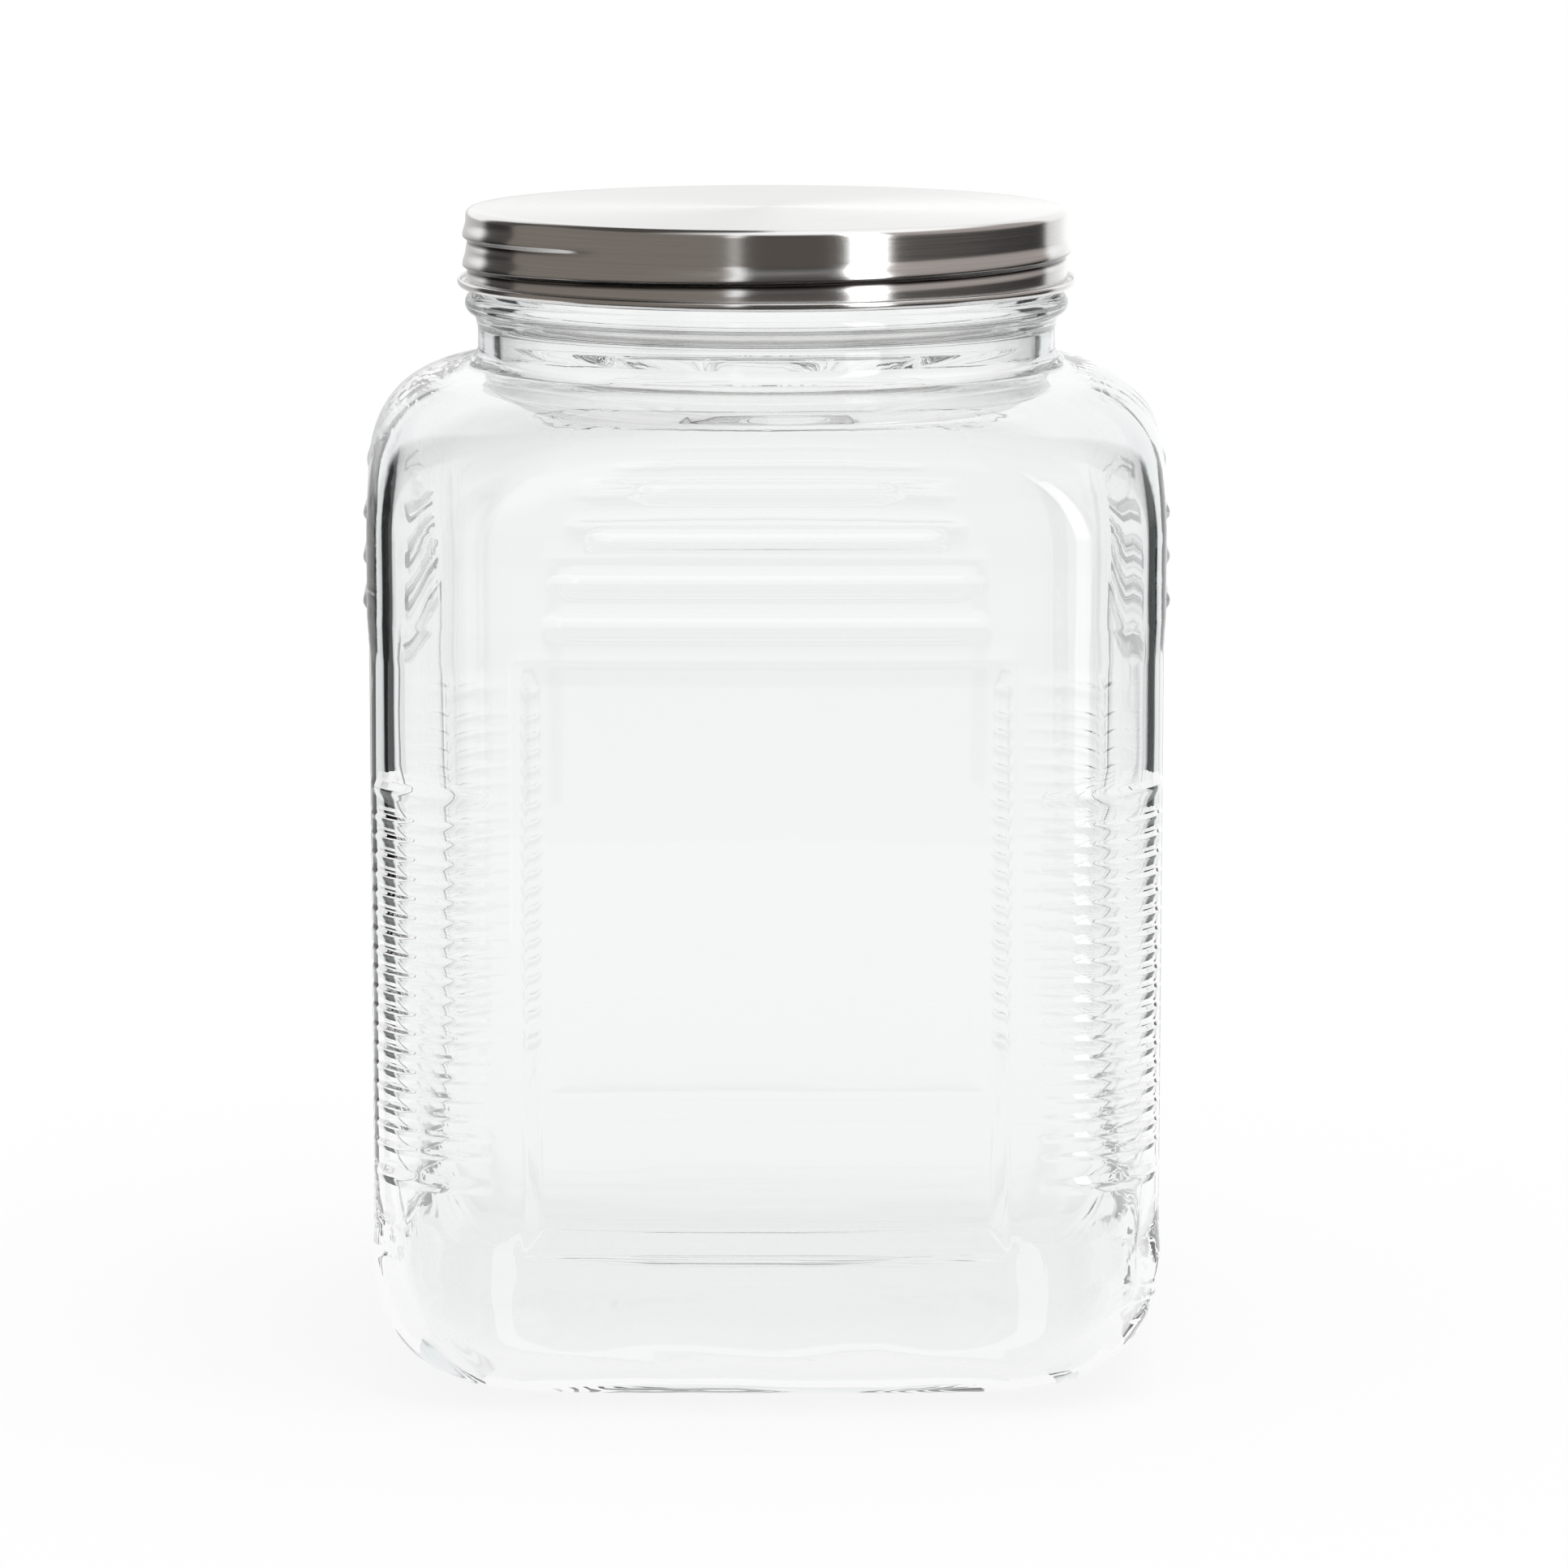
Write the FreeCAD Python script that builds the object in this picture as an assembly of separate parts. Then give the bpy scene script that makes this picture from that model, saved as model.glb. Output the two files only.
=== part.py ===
"""A one-gallon cracker jar: a square clear glass jar with ribbed corners and a wide round mouth,
closed by a screw lid of thin sheet steel. Millimetres, z = 0 on the base, +Z up, front towards -Y."""

import FreeCAD, Part
import math
import os

from FreeCAD import Vector

UP = Vector(0, 0, 1)

# ---- driving dimensions ----------------------------------------------------------------------
# Body, in plan: four gently bowed faces, each tangent to the corner arcs beside it.
FACE_REACH = 79.9          # axis to the middle of a face
CORNER_RADIUS = 25.0
CORNER_CENTRE = 53.3       # x and y of a corner's axis
WALL = 4.4

# Body, in height.
HEEL_TOP = 27.5            # the heel curves in below this
WAIST = 0.5                # how far the sides stand back between the heel and the bars
WAIST_BOTTOM = 34.0
WAIST_TOP = 148.0
WAIST_BLEND = 7.0          # height over which the sides come back out
SHOULDER_FOOT = 170.5      # the corners start to close in above this
SHOULDER_TOP = 200.5       # the shoulder meets the neck here
SHOULDER_STEPS = 5         # sections the shoulder is lofted through, less one
FLOOR_TOP = 6.0
HEEL_INSET = 22.0          # how far the heel draws a face in, down to the bearing ring
HEEL_CORNER_LOSS = 9.0     # how much of the corner radius the heel takes
INNER_HEEL_TOP = 29.0
INNER_HEEL_INSET = 19.0
FACE_ARC_TOP = 199.0       # the middle of a face rolls over into the shoulder on an arc
FACE_ARC_RADIUS = 16.5
CONE_SLOPE = math.radians(20)   # of the last stretch up to the neck

# Underside: a bearing ring round a shallow push-up.
BEARING_WIDTH = 6.0
PUSH_UP = 1.8

# Neck and finish.
NECK_RADIUS = 58.4
NECK_FILLET = 3.0
BEAD_RADIUS = 61.0         # transfer bead under the lid
BEAD_BOTTOM = 209.8
BEAD_TOP = 214.3
RIM_TOP = 230.6
RIM_ROUNDING = 1.6

# Recessed panel on each face, with a bevelled frame round it.
PANEL_DEPTH = 1.0
PANEL_OUTER_HALF = 47.3
PANEL_OUTER_BOTTOM = 33.1
PANEL_OUTER_TOP = 149.3
PANEL_SIDE_BEVEL = 3.5
PANEL_BOTTOM_BEVEL = 4.0
PANEL_TOP_BEVEL = 4.7

# Stepped bars over the panel: (height of the middle, half length, proud of the face).
BAR_WIDTH = 3.5
BARS = ((156.4, 43.0, 0.8), (164.7, 40.0, 0.8), (172.8, 33.5, 0.8), (182.3, 26.5, 0.4))

# Ribs wrapped round each corner: a column of fine ones between two broad ones.
RIB_PITCH = 3.83
RIB_COUNT = 18
RIB_LOWEST = 51.6
RIB_SIDES = 8              # sides of half of a rib's section
RIB_END_SUNK = 0.05        # a rib dies away to this far under the surface at its ends
FINE_RIB = (1.9, 0.5)      # (width, proud at the middle of the corner)
BROAD_RIB = (3.4, 0.8)

# Lid.
SHEET = 0.5
LID_TOP = RIM_TOP + SHEET
LID_RADIUS = 60.8
LID_EDGE_ROUNDING = 1.5
CURL_RADIUS = 1.05         # outside of the rolled lower edge
CURL_END = 400             # where the roll stops, in degrees from outwards
CURL_BOTTOM = 215.3

# ---- plan outline ----------------------------------------------------------------------------
FACE_BOW = FACE_REACH - CORNER_CENTRE - CORNER_RADIUS
FACE_RADIUS = (CORNER_CENTRE ** 2 + (CORNER_RADIUS + FACE_BOW) ** 2 - CORNER_RADIUS ** 2) / (2 * FACE_BOW)
FACE_AXIS = FACE_REACH - FACE_RADIUS
FACE_TURN = math.atan2(CORNER_CENTRE, CORNER_CENTRE - FACE_AXIS)
CORNER_REACH = CORNER_CENTRE * math.sqrt(2) + CORNER_RADIUS
ROUND_TURN = math.pi / 8   # each of the eight arcs of a full circle turns by twice this


def polar(radius, angle, z):
    return Vector(radius * math.cos(angle), radius * math.sin(angle), z)


def outline(face_reach, corner_reach, face_turn, z):
    """A closed outline of eight tangent arcs, four over the faces and four round the corners.
    face_turn is the angle from a face's middle to where its arc meets the corner's arc. With both
    reaches equal it is a circle."""
    spread = math.sin(face_turn) + 1 - math.cos(face_turn)
    lean = math.sqrt(2) * math.sin(face_turn) / spread
    corner = (lean * face_reach - corner_reach) / (lean - 1)
    face = corner + (face_reach - corner) / spread
    axis = face_reach - face
    start = Vector(axis + face * math.cos(face_turn), -face * math.sin(face_turn), z)
    end = Vector(start.x, -start.y, z)
    quarter = Vector(end.y, end.x, z)
    edges = []
    for side in range(4):
        turn = FreeCAD.Rotation(UP, 90 * side)
        face_points = (start, Vector(face_reach, 0, z), end)
        corner_points = (end, polar(corner_reach, math.pi / 4, z), quarter)
        for points in (face_points, corner_points):
            edges.append(Part.Arc(*[turn.multVec(p) for p in points]).toShape())
    return Part.Wire(edges)


def between(low, high, share):
    return low + (high - low) * share


def loft(wires):
    return Part.makeLoft(wires, True, False)


# ---- the glass -------------------------------------------------------------------------------
def heel(inset, foot, top, wall):
    """The heel from its foot up to the straight body, a quarter ellipse in section, wall inside."""
    wires = []
    for share in (0, 0.1, 0.22, 0.36, 0.52, 0.7, 0.86, 1):
        sweep = share * math.pi / 2
        lost = 1 - math.sin(sweep)
        corner_lost = HEEL_CORNER_LOSS * lost
        face_reach = FACE_REACH - wall - inset * lost
        centre = CORNER_CENTRE - (inset * lost - corner_lost)
        corner_reach = centre * math.sqrt(2) + CORNER_RADIUS - wall - corner_lost
        wires.append(outline(face_reach, corner_reach, FACE_TURN, top - (top - foot) * math.cos(sweep)))
    return loft(wires)


def plan(inset, z):
    return outline(FACE_REACH - inset, CORNER_REACH - inset, FACE_TURN, z)


def straight(wall, bottom, top):
    return Part.Face(plan(wall, bottom)).extrude(Vector(0, 0, top - bottom))


def waisted_sides():
    """The upright sides, standing back a little between the heel and the bars."""
    head = WAIST_TOP + WAIST_BLEND
    steps_in = Part.makeLoft([plan(0, HEEL_TOP), plan(WAIST, WAIST_BOTTOM)], True, True)
    steps_out = Part.makeLoft([plan(WAIST, WAIST_TOP), plan(0, head)], True, True)
    waist = straight(WAIST, WAIST_BOTTOM, WAIST_TOP)
    return waist.fuse([steps_in, steps_out, straight(0, head, SHOULDER_FOOT)])


def shoulder_reach(z, wall):
    """Axis to the middle of a face on the shoulder: upright, then an arc, then a cone to the neck."""
    arc_radius = FACE_ARC_RADIUS - wall
    arc_centre = FACE_REACH - FACE_ARC_RADIUS
    rise = z - (FACE_ARC_TOP - FACE_ARC_RADIUS)
    arc_end = arc_radius * math.cos(CONE_SLOPE)
    if rise <= 0:
        return FACE_REACH - wall
    if rise < arc_end:
        return arc_centre + math.sqrt(arc_radius ** 2 - rise ** 2)
    cone = SHOULDER_TOP - wall - z
    cone_height = SHOULDER_TOP - FACE_ARC_TOP + FACE_ARC_RADIUS - wall - arc_end
    return between(NECK_RADIUS - wall, arc_centre + arc_radius * math.sin(CONE_SLOPE), cone / cone_height)


def shoulder(wall):
    """The square body turning into the round neck, a quarter ellipse over each corner."""
    wires = []
    for step in range(SHOULDER_STEPS + 1):
        sweep = step / SHOULDER_STEPS * math.pi / 2
        z = between(SHOULDER_FOOT, SHOULDER_TOP - wall, math.sin(sweep))
        face_reach = shoulder_reach(z, wall)
        corner_reach = between(NECK_RADIUS, CORNER_REACH, math.cos(sweep)) - wall
        turn = between(ROUND_TURN, FACE_TURN, math.cos(sweep))
        wires.append(outline(face_reach, max(corner_reach, face_reach), turn, z))
    return loft(wires)


def at(radius, z):
    """A point of a profile that is revolved about Z."""
    return Vector(radius, 0, z)


def polyline(*points):
    return [Part.makeLine(a, b) for a, b in zip(points, points[1:])]


def arc(radius, z, size, start, end):
    """An arc of a profile about the centre (radius, z), its angles in degrees from outwards."""
    turns = [math.radians(angle) for angle in (start, (start + end) / 2, end)]
    return Part.Arc(*[at(radius + size * math.cos(t), z + size * math.sin(t)) for t in turns]).toShape()


def revolve(edges, angle=360):
    """A solid of revolution about Z from a closed profile."""
    return Part.Face(Part.Wire(edges)).revolve(Vector(0, 0, 0), UP, angle)


def neck_and_finish():
    """The neck with its fillet, the transfer bead and the plain finish up to the rim."""
    sunk = SHOULDER_TOP - NECK_FILLET
    fillet_foot = at(NECK_RADIUS + NECK_FILLET, SHOULDER_TOP)
    fillet_top = at(NECK_RADIUS, SHOULDER_TOP + NECK_FILLET)
    bead_foot = at(NECK_RADIUS, BEAD_BOTTOM)
    bead_crest = at(BEAD_RADIUS, (BEAD_BOTTOM + BEAD_TOP) / 2)
    bead_top = at(NECK_RADIUS, BEAD_TOP)
    rim_foot = at(NECK_RADIUS, RIM_TOP - RIM_ROUNDING)
    rim_edge = at(NECK_RADIUS - RIM_ROUNDING, RIM_TOP)
    edges = polyline(at(0, sunk), at(NECK_RADIUS + NECK_FILLET, sunk), fillet_foot)
    edges.append(arc(fillet_foot.x, fillet_top.z, NECK_FILLET, 270, 180))
    edges += polyline(fillet_top, bead_foot)
    edges.append(Part.Arc(bead_foot, bead_crest, bead_top).toShape())
    edges += polyline(bead_top, rim_foot)
    edges.append(arc(rim_edge.x, rim_foot.z, RIM_ROUNDING, 0, 90))
    edges += polyline(rim_edge, at(0, RIM_TOP), at(0, sunk))
    return revolve(edges)


def on_face(radius, turn, z):
    """A point at a turn from the middle of the face towards +X, radius from the face's own axis."""
    return Vector(FACE_AXIS, 0, 0) + polar(radius, turn, z)


def panel_frame(depth, half, bottom, top):
    """The four edges of a panel's outline at a depth under the waist: low, high, left and right."""
    radius = FACE_RADIUS - WAIST - depth
    turn = math.asin(half / radius)
    low, high = [[on_face(radius, t, z) for t in (-turn, 0, turn)] for z in (bottom, top)]
    left = Part.makeLine(low[0], high[0])
    right = Part.makeLine(low[2], high[2])
    return Part.Arc(*low).toShape(), Part.Arc(*high).toShape(), left, right


def panel_recess():
    """The space cut for one panel: its floor follows the face's curve, its frame is bevelled."""
    inner = panel_frame(PANEL_DEPTH, PANEL_OUTER_HALF - PANEL_SIDE_BEVEL,
                        PANEL_OUTER_BOTTOM + PANEL_BOTTOM_BEVEL, PANEL_OUTER_TOP - PANEL_TOP_BEVEL)
    outer = panel_frame(-PANEL_DEPTH, PANEL_OUTER_HALF + PANEL_SIDE_BEVEL,
                        PANEL_OUTER_BOTTOM - PANEL_BOTTOM_BEVEL, PANEL_OUTER_TOP + PANEL_TOP_BEVEL)
    faces = [Part.makeRuledSurface(a, b) for a, b in zip(inner, outer)]
    for low, high, left, right in (inner, outer):
        faces.append(Part.makeRuledSurface(low, high))
    shell = Part.Shell(faces)
    shell.sewShape()
    recess = Part.Solid(shell)
    if recess.Volume < 0:
        recess.reverse()
    return recess


def bar(middle, half_length, proud):
    """A raised bar with rounded ends across the face towards +X."""
    tube = ((BAR_WIDTH / 2) ** 2 + proud ** 2) / (2 * proud)
    ring = FACE_RADIUS + proud - tube
    turn = math.asin((half_length - BAR_WIDTH / 2) / ring)
    run = Part.makeTorus(ring, tube, Vector(0, 0, 0), UP, -180, 180, 2 * math.degrees(turn))
    start = FreeCAD.Rotation(UP, -math.degrees(turn))
    run.Placement = FreeCAD.Placement(Vector(FACE_AXIS, 0, middle), start)
    return run.multiFuse([Part.makeSphere(tube, on_face(ring, end, middle)) for end in (-turn, turn)])


def rib(middle, width, proud):
    """A raised rib, a quarter turn round the corner between +X and +Y, its section a polygon that is
    nearly round. Its crest is an arc struck a little further out than the corner's own, so it stands
    proudest at the middle and dies away at both ends, leaving the faces clear."""
    tube = ((width / 2) ** 2 + proud ** 2) / (2 * proud)
    shift = (proud + RIB_END_SUNK) / (math.sqrt(2) - 1)
    ring = CORNER_RADIUS - WAIST - RIB_END_SUNK - shift - tube
    turns = [math.pi * (step / RIB_SIDES - 0.5) for step in range(RIB_SIDES + 1)]
    section = [at(ring + tube * math.cos(turn), middle + tube * math.sin(turn)) for turn in turns]
    run = revolve(polyline(*section, section[0]), 90)
    run.translate(Vector(CORNER_CENTRE + shift, CORNER_CENTRE + shift, 0))
    return run


def corner_ribs():
    """The column of ribs on one corner."""
    ribs = [rib(RIB_LOWEST + RIB_PITCH * i, *FINE_RIB) for i in range(RIB_COUNT)]
    for steps in (-1.5, RIB_COUNT + 0.5):
        ribs.append(rib(RIB_LOWEST + RIB_PITCH * steps, *BROAD_RIB))
    return ribs


def on_each_side(shape):
    """The shape made for the face towards +X, or the corner beside it, repeated on all four sides."""
    copies = []
    for side in range(4):
        copy = shape.copy()
        copy.rotate(Vector(0, 0, 0), UP, 90 * side)
        copies.append(copy)
    return copies


def push_up():
    """The shallow dome under the floor, inside the bearing ring."""
    reach = FACE_REACH - HEEL_INSET - BEARING_WIDTH
    sphere_radius = (reach ** 2 + PUSH_UP ** 2) / (2 * PUSH_UP)
    return Part.makeSphere(sphere_radius, Vector(0, 0, PUSH_UP - sphere_radius))


def cavity():
    """The free space inside, from the floor up through the mouth."""
    bore_foot = SHOULDER_TOP - WALL
    bore = Part.makeCylinder(NECK_RADIUS - WALL, RIM_TOP + 1 - bore_foot, Vector(0, 0, bore_foot))
    upright = straight(WALL, INNER_HEEL_TOP, SHOULDER_FOOT)
    return heel(INNER_HEEL_INSET, FLOOR_TOP, INNER_HEEL_TOP, WALL).fuse([upright, shoulder(WALL), bore])


def glass_jar():
    sides = waisted_sides()
    for recess in on_each_side(panel_recess()):
        sides = sides.cut(recess)
    for one_rib in corner_ribs():
        sides = sides.fuse(on_each_side(one_rib))
    body = heel(HEEL_INSET, 0, HEEL_TOP, 0).fuse([sides, shoulder(0), neck_and_finish()])
    bars = []
    for middle, half_length, proud in BARS:
        bars += on_each_side(bar(middle, half_length, proud))
    body = body.fuse(bars)
    return body.cut(cavity()).cut(push_up()).removeSplitter()


# ---- the lid ---------------------------------------------------------------------------------
def lid():
    """Thin sheet drawn into a flat-topped cap, its lower edge rolled outwards into a curl."""
    inside = LID_RADIUS - SHEET
    edge = LID_RADIUS - LID_EDGE_ROUNDING
    edge_foot = LID_TOP - LID_EDGE_ROUNDING
    curl = CURL_BOTTOM + CURL_RADIUS
    curl_axis = inside + CURL_RADIUS
    inner_curl = arc(curl_axis, curl, CURL_RADIUS - SHEET, 180, CURL_END)
    outer_curl = arc(curl_axis, curl, CURL_RADIUS, CURL_END, 180)
    edges = polyline(at(0, LID_TOP), at(edge, LID_TOP))
    edges.append(arc(edge, edge_foot, LID_EDGE_ROUNDING, 90, 0))
    edges += polyline(at(LID_RADIUS, edge_foot), at(LID_RADIUS, curl))
    edges.append(inner_curl)
    edges += polyline(inner_curl.Vertexes[-1].Point, outer_curl.Vertexes[0].Point)
    edges.append(outer_curl)
    edges += polyline(at(inside, curl), at(inside, edge_foot))
    edges.append(arc(edge, edge_foot, LID_EDGE_ROUNDING - SHEET, 0, 90))
    edges += polyline(at(edge, RIM_TOP), at(0, RIM_TOP), at(0, LID_TOP))
    return revolve(edges)


os.makedirs("parts", exist_ok=True)
for name, shape in (("jar", glass_jar()), ("lid", lid())):
    print(name, "valid" if shape.isValid() else "broken", len(shape.Solids), "solid,",
          round(shape.Volume / 1000, 1), "ml, top at", round(shape.BoundBox.ZMax, 2))
    shape.exportStep("parts/" + name + ".step")
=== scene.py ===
"""Looks of an empty one-gallon cracker jar: clear pressed glass with ribbed corners, framed panels and
stepped bars, under a screw lid of brushed sheet steel. Metres, +Z up, the front face towards -Y."""

import math
from collections import namedtuple

import bmesh
import bpy
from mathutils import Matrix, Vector, noise


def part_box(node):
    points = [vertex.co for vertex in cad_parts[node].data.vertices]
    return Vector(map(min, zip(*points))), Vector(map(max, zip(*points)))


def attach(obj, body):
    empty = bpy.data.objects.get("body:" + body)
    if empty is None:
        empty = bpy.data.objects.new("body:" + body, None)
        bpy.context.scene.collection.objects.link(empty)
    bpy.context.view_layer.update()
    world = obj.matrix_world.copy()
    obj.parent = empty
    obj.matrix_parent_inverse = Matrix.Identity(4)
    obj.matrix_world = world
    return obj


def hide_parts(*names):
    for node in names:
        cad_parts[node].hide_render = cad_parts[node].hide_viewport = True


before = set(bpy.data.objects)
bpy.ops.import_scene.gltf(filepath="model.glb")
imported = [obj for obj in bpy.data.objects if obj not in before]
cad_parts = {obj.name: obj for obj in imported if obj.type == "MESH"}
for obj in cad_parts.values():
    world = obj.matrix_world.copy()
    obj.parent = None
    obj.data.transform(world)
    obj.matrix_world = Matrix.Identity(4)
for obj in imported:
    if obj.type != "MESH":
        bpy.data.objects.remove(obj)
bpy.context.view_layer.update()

MM = 0.001
jar_low, jar_high = (Vector(corner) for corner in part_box("jar"))
lid_low, lid_high = (Vector(corner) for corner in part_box("lid"))

# ---- sizes of the glass ------------------------------------------------------------------------
BAR_PROUD = 0.8 * MM
FACE_REACH = jar_high.x - BAR_PROUD      # axis to the middle of a face
CORNER_RADIUS = 25.0 * MM
CORNER_CENTRE = 53.3 * MM
WALL = 4.4 * MM
CAVITY_SHIFT = 0.6 * MM                  # the inside sits a little to the right of the outside
HEEL_TOP = 27.5 * MM
WAIST = 0.5 * MM                         # how far the sides stand back below the bars
WAIST_BOTTOM = 34.0 * MM
WAIST_TOP = 148.0 * MM
WAIST_BLEND = 7.0 * MM
HEEL_INSET = 22.0 * MM
HEEL_CORNER_LOSS = 9.0 * MM
BEARING_WIDTH = 6.0 * MM
PUSH_UP = 1.8 * MM
FLOOR_TOP = 6.0 * MM
SHOULDER_FOOT = 170.5 * MM
SHOULDER_TOP = 200.5 * MM
SHOULDER_THINNING = 0.75                 # share of the wall left where the shoulder meets the neck
FACE_ARC_TOP = 199.0 * MM                # the middle of a face rolls into the shoulder on an arc
FACE_ARC_RADIUS = 16.5 * MM
NECK_RADIUS = 58.4 * MM
NECK_FILLET = 3.0 * MM
BEAD_RADIUS = 61.0 * MM
BEAD_BOTTOM = 209.8 * MM
BEAD_TOP = 214.3 * MM
RIM_TOP = jar_high.z
RIM_ROUNDING = 1.6 * MM

PANEL_DEPTH = 1.0 * MM
PANEL_HALF = 47.3 * MM
PANEL_BOTTOM = 33.1 * MM
PANEL_TOP = 149.3 * MM
SIDE_BEVEL = 3.5 * MM
BOTTOM_BEVEL = 4.0 * MM
TOP_BEVEL = 4.7 * MM
PANEL_LIP_WIDTH = 0.9 * MM               # a fine lip round each panel
PANEL_LIP_PROUD = 0.14 * MM

Bar = namedtuple("Bar", "height half_length proud")
BAR_WIDTH = 3.5 * MM
BARS = [Bar(156.4 * MM, 43.0 * MM, BAR_PROUD), Bar(164.7 * MM, 40.0 * MM, BAR_PROUD),
        Bar(172.8 * MM, 33.5 * MM, BAR_PROUD), Bar(182.3 * MM, 26.5 * MM, BAR_PROUD / 2)]

Rib = namedtuple("Rib", "height width proud")
RIB_PITCH = 3.83 * MM
RIB_COUNT = 18
RIB_LOWEST = 51.6 * MM
RIB_END = 53.6 * MM                      # where a rib stops, measured along the face from its middle
RIB_END_PROUD = 0.12 * MM
RIBS = [Rib(RIB_LOWEST + RIB_PITCH * i, 1.9 * MM, 0.5 * MM) for i in range(RIB_COUNT)]
RIBS += [Rib(RIB_LOWEST - 1.5 * RIB_PITCH, 3.4 * MM, 0.8 * MM),
         Rib(RIB_LOWEST + RIB_PITCH * (RIB_COUNT + 0.5), 3.4 * MM, 0.8 * MM)]

SEAM_PROUD = 0.10 * MM                   # mould parting line, down the middle of each corner
WAVE_DEPTH = 0.16 * MM                   # how uneven the inside of pressed glass is
WAVES_PER_METRE = 22
BASE_WAVE_DEPTH = 0.6 * MM               # and more so round the base
BASE_WAVES_CLOSER = 2.6
BASE_WAVE_BLEND = 8.0 * MM
FLOOR_WAVES_PER_METRE = 50
FLOOR_WAVE_LEVEL = 0.3                   # which slice of the noise the floor shows
FLOOR_WAVE_REACH = 4.0 * MM

# ---- sizes of the lid --------------------------------------------------------------------------
SHEET = lid_high.z - RIM_TOP
LID_TOP = lid_high.z
LID_RADIUS = 60.8 * MM
LID_EDGE_ROUNDING = 1.5 * MM
CURL_RADIUS = 1.1 * MM
CURL_BOTTOM = lid_low.z
LID_THREAD_PITCH = 5.9 * MM
LID_THREAD_PROUD = 0.67 * MM
LID_THREAD_BOTTOM = 216.9 * MM
LID_THREAD_TURNS = 1.62
LID_THREAD_FOOT = math.radians(-255)     # lower end, in azimuth from the front towards +X
LID_THREAD_FADE = 0.08                   # turns over which the thread rises from nothing
LID_STEPS = 240

# ---- plan outline of the body ------------------------------------------------------------------
CONE_SLOPE = math.radians(20)            # of the shoulder between the face's arc and the neck
# Steps of the turned mesh in an eighth of the outline, as (distance from the face's middle, steps).
FACE_BOW = FACE_REACH - CORNER_CENTRE - CORNER_RADIUS
FACE_RADIUS = (CORNER_CENTRE ** 2 + (CORNER_RADIUS + FACE_BOW) ** 2 - CORNER_RADIUS ** 2) / (2 * FACE_BOW)
FACE_TURN = math.atan2(CORNER_CENTRE, CORNER_CENTRE - FACE_REACH + FACE_RADIUS)
FACE_HALF_LENGTH = FACE_RADIUS * FACE_TURN
EIGHTH_LENGTH = FACE_HALF_LENGTH + CORNER_RADIUS * (math.pi / 4 - FACE_TURN)
CORNER_REACH = CORNER_CENTRE * math.sqrt(2) + CORNER_RADIUS
ROUND_TURN = math.pi / 8
BANDS = [(24 * MM, 3), (43 * MM, 10), (48.2 * MM, 8), (52.5 * MM, 2), (55 * MM, 4), (EIGHTH_LENGTH, 8)]
EIGHTH_STEPS = sum(steps for _, steps in BANDS)
TURN_STEPS = 8 * EIGHTH_STEPS

Section = namedtuple("Section", "face_reach corner_reach face_turn")
Row = namedtuple("Row", "reach height section wall")


def between(low, high, share):
    return low + (high - low) * share


def round_section(radius):
    return Section(radius, radius, ROUND_TURN)


def straight_section(wall):
    return Section(FACE_REACH - wall, CORNER_REACH - wall, FACE_TURN)


def heel_section(sweep, inset, wall):
    lost = 1 - math.sin(sweep)
    corner_lost = HEEL_CORNER_LOSS * lost
    centre = CORNER_CENTRE - (inset * lost - corner_lost)
    corner_reach = centre * math.sqrt(2) + CORNER_RADIUS - wall - corner_lost
    return Section(FACE_REACH - wall - inset * lost, corner_reach, FACE_TURN)


def shoulder_section(sweep, wall):
    """A quarter ellipse over each corner; over the middle of a face, an arc that starts higher."""
    neck = NECK_RADIUS - wall
    top = SHOULDER_TOP - wall * SHOULDER_THINNING
    height = between(SHOULDER_FOOT, top, math.sin(sweep))
    arc = FACE_ARC_RADIUS - wall
    centre = FACE_REACH - FACE_ARC_RADIUS
    rise = height - (FACE_ARC_TOP - FACE_ARC_RADIUS)
    arc_end = arc * math.cos(CONE_SLOPE)
    if rise <= 0:
        face_reach = FACE_REACH - wall
    elif rise < arc_end:
        face_reach = centre + math.sqrt(arc ** 2 - rise ** 2)
    else:
        edge = centre + arc * math.sin(CONE_SLOPE)
        share = (rise - arc_end) / (top - FACE_ARC_TOP + FACE_ARC_RADIUS - arc_end)
        if wall:
            share = 1 - math.sqrt(max(0.0, 1 - share))
        face_reach = between(edge, neck, share)
    corner_reach = max(face_reach, between(neck, CORNER_REACH - wall, math.cos(sweep)))
    return Section(face_reach, corner_reach, between(ROUND_TURN, FACE_TURN, math.cos(sweep))), height


def along(step):
    """Distance from a face's middle, along the straight body's outline, at a step of an eighth."""
    start = 0.0
    for reach, steps in BANDS:
        if step <= steps:
            return between(start, reach, step / steps)
        start = reach
        step -= steps
    return EIGHTH_LENGTH


def outline_point(section, distance):
    """Point and outward direction on a section, in the frame of the face it belongs to."""
    turn = section.face_turn
    spread = math.sin(turn) + 1 - math.cos(turn)
    lean = math.sqrt(2) * math.sin(turn) / spread
    corner = (lean * section.face_reach - section.corner_reach) / (lean - 1)
    face = corner + (section.face_reach - corner) / spread
    if distance <= FACE_HALF_LENGTH:
        angle = turn * distance / FACE_HALF_LENGTH
        centre, radius = Vector((section.face_reach - face, 0)), face
    else:
        share = (distance - FACE_HALF_LENGTH) / (EIGHTH_LENGTH - FACE_HALF_LENGTH)
        angle = between(turn, math.pi / 4, share)
        middle = (section.corner_reach - corner) / math.sqrt(2)
        centre, radius = Vector((middle, middle)), corner
    outward = Vector((math.cos(angle), math.sin(angle)))
    return centre + outward * radius, outward


# ---- relief pressed into the glass -------------------------------------------------------------
def raised(across, up, width, proud):
    """Height of a rounded bead at a distance from its middle line."""
    share = math.hypot(across, up) / (width / 2)
    return proud * (1 - share ** 2) if share < 1 else 0.0


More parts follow.
